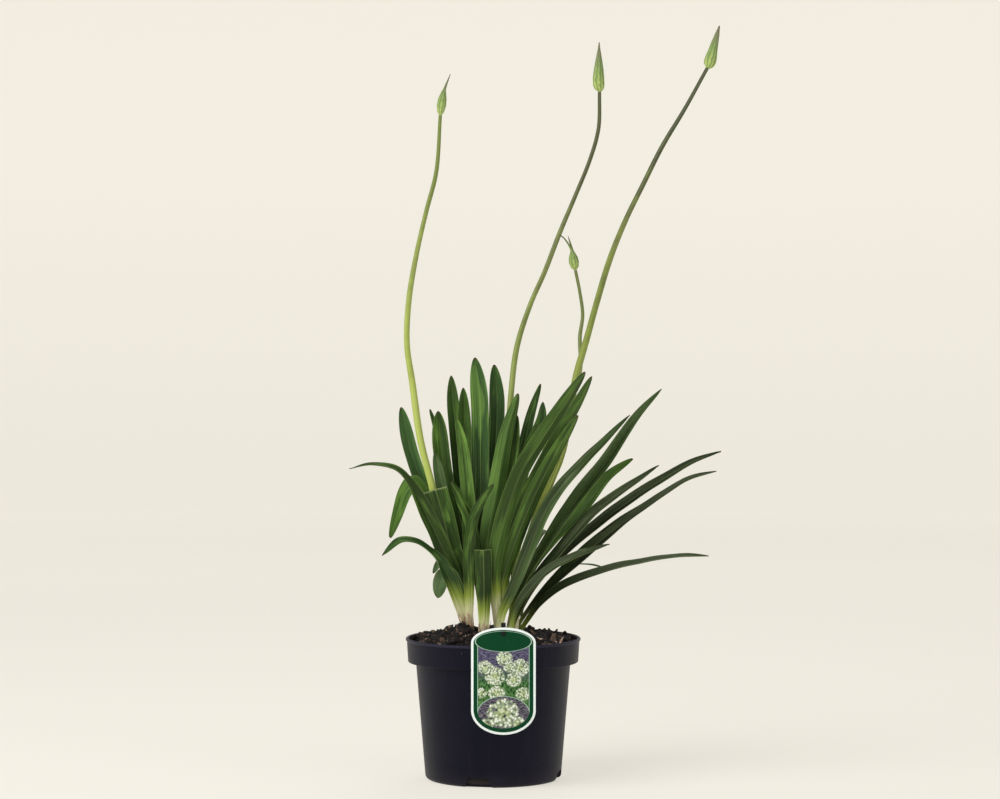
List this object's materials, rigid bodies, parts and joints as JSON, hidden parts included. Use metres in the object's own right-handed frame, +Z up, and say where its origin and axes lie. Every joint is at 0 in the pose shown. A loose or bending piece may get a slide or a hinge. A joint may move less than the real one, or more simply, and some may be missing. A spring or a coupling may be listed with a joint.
{
  "type": "potted agapanthus plant",
  "caption": "Agapanthus in a round black nursery pot: arching strap leaves in clustered shoots, tall bare stalks with closed pointed buds, and a hanging oval plant label.",
  "frame": {"origin": "centre of the pot's flat underside, on the surface it stands on", "axes": "+Z up out of the pot; -Y towards the front, where the label hangs; +X towards the side that the longest leaves and the tallest stalk lean to"},
  "size_m": [0.4018, 0.2397, 0.8112],
  "materials": {
    "pot": "satin",
    "soil": "matte",
    "label": "satin",
    "label_clip": "satin",
    "leaf": "satin",
    "dry_sheath": "matte",
    "stalk": "satin",
    "bud": "satin"
  },
  "bodies": {
    "root": {"pot": "pot", "soil": "soil", "label": "label", "label_clip": "label_clip", "left_leaf_01": "leaf", "left_leaf_02": "leaf", "left_leaf_03": "leaf", "left_leaf_04": "leaf", "left_leaf_05": "leaf", "left_leaf_06": "leaf", "left_leaf_07": "leaf", "left_leaf_08": "leaf", "left_leaf_09": "leaf", "left_leaf_10": "leaf", "left_leaf_11": "leaf", "left_leaf_12": "leaf", "left_leaf_13": "leaf", "left_leaf_14": "leaf", "front_leaf_01": "leaf", "front_leaf_02": "leaf", "front_leaf_03": "leaf", "front_leaf_04": "leaf", "front_leaf_05": "leaf", "front_leaf_06": "leaf", "front_leaf_07": "leaf", "middle_leaf_01": "leaf", "middle_leaf_02": "leaf", "middle_leaf_03": "leaf", "middle_leaf_04": "leaf", "middle_leaf_05": "leaf", "middle_leaf_06": "leaf", "middle_leaf_07": "leaf", "right_leaf_01": "leaf", "right_leaf_02": "leaf", "right_leaf_03": "leaf", "right_leaf_04": "leaf", "right_leaf_05": "leaf", "right_leaf_06": "leaf", "right_leaf_07": "leaf", "right_leaf_08": "leaf", "right_leaf_09": "leaf", "right_leaf_10": "leaf", "dry_sheath_front": "dry_sheath", "dry_sheath_side": "dry_sheath", "stalk_left": "stalk", "stalk_middle": "stalk", "stalk_right": "stalk", "stalk_short": "stalk", "bud_left": "bud", "bud_middle": "bud", "bud_right": "bud", "bud_short": "bud"}
  },
  "joints": []
}
